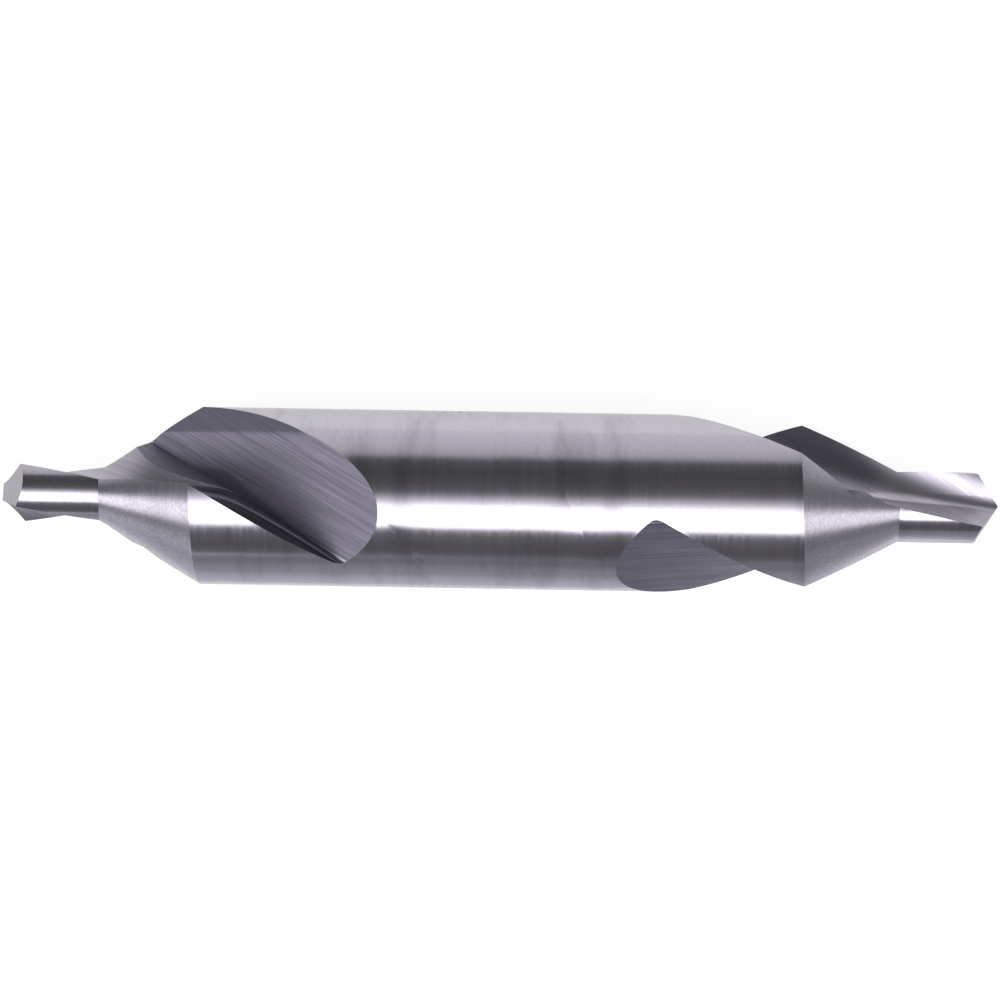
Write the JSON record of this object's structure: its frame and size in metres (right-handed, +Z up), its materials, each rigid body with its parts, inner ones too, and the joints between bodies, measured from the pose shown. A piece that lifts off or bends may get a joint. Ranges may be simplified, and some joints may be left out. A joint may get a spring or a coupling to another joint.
{
  "type": "centre drill",
  "caption": "Double-ended centre drill: a ground steel bar with a fluted pilot drill and a countersink at each end.",
  "frame": {"origin": "middle of the bar, on its axis", "axes": "+X along the axis, +Z up; the tool is the same after a half turn end for end about its lips' direction"},
  "size_m": [0.056, 0.01, 0.01],
  "materials": {
    "ground_steel": "centreless-ground high-speed steel with ground flutes, bright and bare"
  },
  "bodies": {
    "root": {"centre_drill": "ground_steel"}
  },
  "joints": []
}
